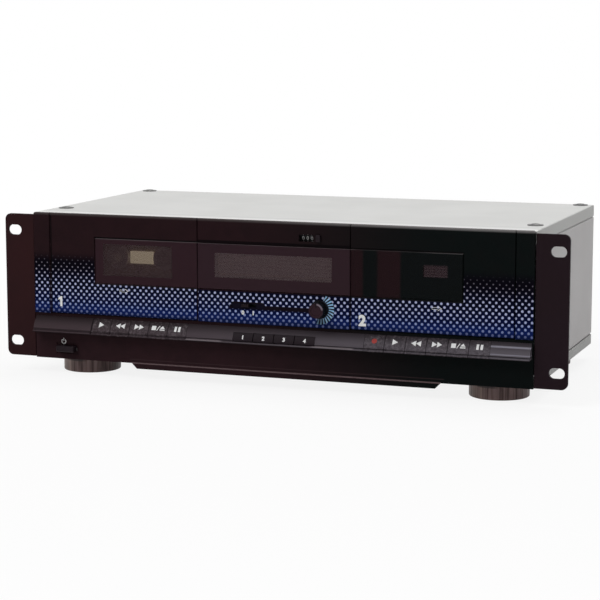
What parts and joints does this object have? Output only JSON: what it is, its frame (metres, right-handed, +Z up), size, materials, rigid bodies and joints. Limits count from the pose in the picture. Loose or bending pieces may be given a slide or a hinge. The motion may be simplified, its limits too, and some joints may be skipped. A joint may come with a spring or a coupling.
{
  "type": "double cassette deck",
  "caption": "Rack-mounted double cassette deck with hinged smoked-window doors, piano keys, level knob, tape counter and meter window, on round feet.",
  "frame": {"origin": "on the standing surface, under the middle of the whole object's box", "axes": "+X to the right as seen from the front, +Y to the rear, +Z up; the fascia looks to -Y"},
  "size_m": [0.4826, 0.2426, 0.1375],
  "materials": {
    "fascia_plastic": "glossy black moulding",
    "ledge_plastic": "fine matte charcoal",
    "smoked_plastic": "dark smoked clear plastic",
    "ear_paint": "matte black",
    "cover_paint": "light grey, fine texture",
    "tray_steel": "grey",
    "screw_steel": "zinc plated",
    "jack_plating": "nickel plated",
    "black_plastic": "moulded black",
    "foot_plastic": "dark taupe",
    "board": "laminate with parts",
    "white_plastic": "moulded white",
    "zinc_steel": "zinc plated",
    "plate_aluminium": "satin sheet",
    "brass_wheel": "turned",
    "motor_steel": "plated can",
    "belt_rubber": "smooth",
    "roller_rubber": "ground"
  },
  "bodies": {
    "case": {"front_panel": "fascia_plastic", "meter_window": "smoked_plastic", "rack_ear_left": "ear_paint", "rack_ear_right": "ear_paint", "case_screws": "screw_steel", "top_cover": "cover_paint", "side_panel_left": "cover_paint", "side_panel_right": "cover_paint", "bottom_tray": "tray_steel", "rear_panel": "tray_steel", "line_jacks": "jack_plating", "cord_gland": "black_plastic", "feet": "foot_plastic", "main_board": "board", "front_board": "board", "counter_frame": "black_plastic", "well_panels": "black_plastic", "deck_chassis": "zinc_steel", "drive_motors": "motor_steel", "drive_belts": "belt_rubber"},
    "door_a": {"door_front_a": "fascia_plastic", "door_window_a": "smoked_plastic", "cassette_holder_a": "black_plastic"},
    "supply_hub_a": {"supply_hub_a": "white_plastic"},
    "takeup_hub_a": {"takeup_hub_a": "white_plastic"},
    "motor_pulley_a": {"motor_pulley_a": "black_plastic"},
    "flywheel_a": {"flywheel_a": "brass_wheel"},
    "head_plate_a": {"head_plate_a": "plate_aluminium"},
    "pinch_roller_a": {"pinch_roller_a": "roller_rubber"},
    "door_b": {"door_front_b": "fascia_plastic", "door_window_b": "smoked_plastic", "cassette_holder_b": "black_plastic"},
    "supply_hub_b": {"supply_hub_b": "white_plastic"},
    "takeup_hub_b": {"takeup_hub_b": "white_plastic"},
    "motor_pulley_b": {"motor_pulley_b": "black_plastic"},
    "flywheel_b": {"flywheel_b": "brass_wheel"},
    "head_plate_b": {"head_plate_b": "plate_aluminium"},
    "pinch_roller_b": {"pinch_roller_b": "roller_rubber"},
    "key_play_a": {"key_play_a": "ledge_plastic"},
    "key_rewind_a": {"key_rewind_a": "ledge_plastic"},
    "key_forward_a": {"key_forward_a": "ledge_plastic"},
    "key_stop_a": {"key_stop_a": "ledge_plastic"},
    "key_pause_a": {"key_pause_a": "ledge_plastic"},
    "key_record_b": {"key_record_b": "ledge_plastic"},
    "key_play_b": {"key_play_b": "ledge_plastic"},
    "key_rewind_b": {"key_rewind_b": "ledge_plastic"},
    "key_forward_b": {"key_forward_b": "ledge_plastic"},
    "key_stop_b": {"key_stop_b": "ledge_plastic"},
    "key_pause_b": {"key_pause_b": "ledge_plastic"},
    "power_button": {"power_button": "ledge_plastic"},
    "push_button_1": {"push_button_1": "ledge_plastic"},
    "push_button_2": {"push_button_2": "ledge_plastic"},
    "push_button_3": {"push_button_3": "ledge_plastic"},
    "push_button_4": {"push_button_4": "ledge_plastic"},
    "counter_reset": {"counter_reset": "fascia_plastic"},
    "mode_switch": {"mode_switch": "black_plastic"},
    "level_knob": {"level_knob": "black_plastic"},
    "counter_units": {"counter_units": "white_plastic"},
    "counter_tens": {"counter_tens": "white_plastic"},
    "counter_hundreds": {"counter_hundreds": "white_plastic"}
  },
  "joints": [
    {"name": "door_a_hinge", "type": "hinge", "parent": "case", "child": "door_a", "pos_m": [-0.1325, -0.10995, 0.0546], "axis": [1, 0, 0], "range_deg": [0, 25]},
    {"name": "supply_hub_a_spin", "type": "hinge", "parent": "case", "child": "supply_hub_a", "pos_m": [-0.14875, -0.09525, 0.0985], "axis": [0, 1, 0], "continuous": true},
    {"name": "takeup_hub_a_spin", "type": "hinge", "parent": "case", "child": "takeup_hub_a", "pos_m": [-0.10625, -0.09525, 0.0985], "axis": [0, 1, 0], "continuous": true},
    {"name": "motor_a_spin", "type": "hinge", "parent": "case", "child": "motor_pulley_a", "pos_m": [-0.1555, -0.07325, 0.08], "axis": [0, 1, 0], "continuous": true},
    {"name": "flywheel_a_spin", "type": "hinge", "parent": "case", "child": "flywheel_a", "pos_m": [-0.106, -0.08025, 0.0705], "axis": [0, 1, 0], "continuous": true},
    {"name": "head_plate_a_slide", "type": "slide", "parent": "case", "child": "head_plate_a", "axis": [0, 0, 1], "range_m": [0, 0.005]},
    {"name": "pinch_roller_a_spin", "type": "hinge", "parent": "head_plate_a", "child": "pinch_roller_a", "pos_m": [-0.106, -0.10095, 0.0582], "axis": [0, 1, 0], "continuous": true},
    {"name": "door_b_hinge", "type": "hinge", "parent": "case", "child": "door_b", "pos_m": [0.1325, -0.10995, 0.0546], "axis": [1, 0, 0], "range_deg": [0, 25]},
    {"name": "supply_hub_b_spin", "type": "hinge", "parent": "case", "child": "supply_hub_b", "pos_m": [0.10625, -0.09525, 0.0985], "axis": [0, 1, 0], "continuous": true},
    {"name": "takeup_hub_b_spin", "type": "hinge", "parent": "case", "child": "takeup_hub_b", "pos_m": [0.14875, -0.09525, 0.0985], "axis": [0, 1, 0], "continuous": true},
    {"name": "motor_b_spin", "type": "hinge", "parent": "case", "child": "motor_pulley_b", "pos_m": [0.0995, -0.07325, 0.08], "axis": [0, 1, 0], "continuous": true},
    {"name": "flywheel_b_spin", "type": "hinge", "parent": "case", "child": "flywheel_b", "pos_m": [0.149, -0.08025, 0.0705], "axis": [0, 1, 0], "continuous": true},
    {"name": "head_plate_b_slide", "type": "slide", "parent": "case", "child": "head_plate_b", "axis": [0, 0, 1], "range_m": [0, 0.005]},
    {"name": "pinch_roller_b_spin", "type": "hinge", "parent": "head_plate_b", "child": "pinch_roller_b", "pos_m": [0.149, -0.10095, 0.0582], "axis": [0, 1, 0], "continuous": true},
    {"name": "key_play_a_press", "type": "hinge", "parent": "case", "child": "key_play_a", "pos_m": [-0.15085, -0.07425, 0.034], "axis": [1, 0, 0], "range_deg": [0, 6.5], "stiffness_Nm_per_rad": 1.2, "springref_deg": -2.86},
    {"name": "key_rewind_a_press", "type": "hinge", "parent": "case", "child": "key_rewind_a", "pos_m": [-0.1337, -0.07425, 0.034], "axis": [1, 0, 0], "range_deg": [0, 6.5], "stiffness_Nm_per_rad": 1.2, "springref_deg": -2.86},
    {"name": "key_forward_a_press", "type": "hinge", "parent": "case", "child": "key_forward_a", "pos_m": [-0.11655, -0.07425, 0.034], "axis": [1, 0, 0], "range_deg": [0, 6.5], "stiffness_Nm_per_rad": 1.2, "springref_deg": -2.86},
    {"name": "key_stop_a_press", "type": "hinge", "parent": "case", "child": "key_stop_a", "pos_m": [-0.0994, -0.07425, 0.034], "axis": [1, 0, 0], "range_deg": [0, 6.5], "stiffness_Nm_per_rad": 1.2, "springref_deg": -2.86},
    {"name": "key_pause_a_press", "type": "hinge", "parent": "case", "child": "key_pause_a", "pos_m": [-0.08225, -0.07425, 0.034], "axis": [1, 0, 0], "range_deg": [0, 6.5], "stiffness_Nm_per_rad": 1.2, "springref_deg": -2.86},
    {"name": "key_record_b_press", "type": "hinge", "parent": "case", "child": "key_record_b", "pos_m": [0.087, -0.07425, 0.034], "axis": [1, 0, 0], "range_deg": [0, 6.5], "stiffness_Nm_per_rad": 1.2, "springref_deg": -2.86},
    {"name": "key_play_b_press", "type": "hinge", "parent": "case", "child": "key_play_b", "pos_m": [0.10415, -0.07425, 0.034], "axis": [1, 0, 0], "range_deg": [0, 6.5], "stiffness_Nm_per_rad": 1.2, "springref_deg": -2.86},
    {"name": "key_rewind_b_press", "type": "hinge", "parent": "case", "child": "key_rewind_b", "pos_m": [0.1213, -0.07425, 0.034], "axis": [1, 0, 0], "range_deg": [0, 6.5], "stiffness_Nm_per_rad": 1.2, "springref_deg": -2.86},
    {"name": "key_forward_b_press", "type": "hinge", "parent": "case", "child": "key_forward_b", "pos_m": [0.13845, -0.07425, 0.034], "axis": [1, 0, 0], "range_deg": [0, 6.5], "stiffness_Nm_per_rad": 1.2, "springref_deg": -2.86},
    {"name": "key_stop_b_press", "type": "hinge", "parent": "case", "child": "key_stop_b", "pos_m": [0.1556, -0.07425, 0.034], "axis": [1, 0, 0], "range_deg": [0, 6.5], "stiffness_Nm_per_rad": 1.2, "springref_deg": -2.86},
    {"name": "key_pause_b_press", "type": "hinge", "parent": "case", "child": "key_pause_b", "pos_m": [0.17275, -0.07425, 0.034], "axis": [1, 0, 0], "range_deg": [0, 6.5], "stiffness_Nm_per_rad": 1.2, "springref_deg": -2.86},
    {"name": "power_button_press", "type": "slide", "parent": "case", "child": "power_button", "axis": [0, 1, 0], "range_m": [0, 0.0025], "stiffness_N_per_m": 500, "springref_m": -0.002},
    {"name": "push_button_1_press", "type": "slide", "parent": "case", "child": "push_button_1", "axis": [0, 1, 0], "range_m": [0, 0.0015], "stiffness_N_per_m": 400, "springref_m": -0.0015},
    {"name": "push_button_2_press", "type": "slide", "parent": "case", "child": "push_button_2", "axis": [0, 1, 0], "range_m": [0, 0.0015], "stiffness_N_per_m": 400, "springref_m": -0.0015},
    {"name": "push_button_3_press", "type": "slide", "parent": "case", "child": "push_button_3", "axis": [0, 1, 0], "range_m": [0, 0.0015], "stiffness_N_per_m": 400, "springref_m": -0.0015},
    {"name": "push_button_4_press", "type": "slide", "parent": "case", "child": "push_button_4", "axis": [0, 1, 0], "range_m": [0, 0.0015], "stiffness_N_per_m": 400, "springref_m": -0.0015},
    {"name": "counter_reset_press", "type": "slide", "parent": "case", "child": "counter_reset", "axis": [0, 1, 0], "range_m": [0, 0.0016], "stiffness_N_per_m": 400, "springref_m": -0.0015},
    {"name": "mode_switch_slide", "type": "slide", "parent": "case", "child": "mode_switch", "axis": [1, 0, 0], "range_m": [0, 0.005]},
    {"name": "level_knob_turn", "type": "hinge", "parent": "case", "child": "level_knob", "pos_m": [0.04, -0.11025, 0.067], "axis": [0, 1, 0], "range_deg": [-150, 150]},
    {"name": "counter_units_spin", "type": "hinge", "parent": "case", "child": "counter_units", "pos_m": [0.0284, -0.10065, 0.1238], "axis": [1, 0, 0], "continuous": true},
    {"name": "counter_tens_spin", "type": "hinge", "parent": "case", "child": "counter_tens", "pos_m": [0.0284, -0.10065, 0.1238], "axis": [1, 0, 0], "continuous": true},
    {"name": "counter_hundreds_spin", "type": "hinge", "parent": "case", "child": "counter_hundreds", "pos_m": [0.0284, -0.10065, 0.1238], "axis": [1, 0, 0], "continuous": true}
  ],
  "couplings": [
    {"joint": "flywheel_a_spin", "follows": "motor_a_spin", "ratio": 0.19565},
    {"joint": "key_play_a_press", "follows": "head_plate_a_slide", "rad_per_m": 22.689},
    {"joint": "flywheel_b_spin", "follows": "motor_b_spin", "ratio": 0.19565},
    {"joint": "key_play_b_press", "follows": "head_plate_b_slide", "rad_per_m": 22.689},
    {"joint": "counter_units_spin", "follows": "takeup_hub_b_spin", "ratio": 0.05},
    {"joint": "counter_tens_spin", "follows": "takeup_hub_b_spin", "ratio": 0.005},
    {"joint": "counter_hundreds_spin", "follows": "takeup_hub_b_spin", "ratio": 0.0005}
  ]
}
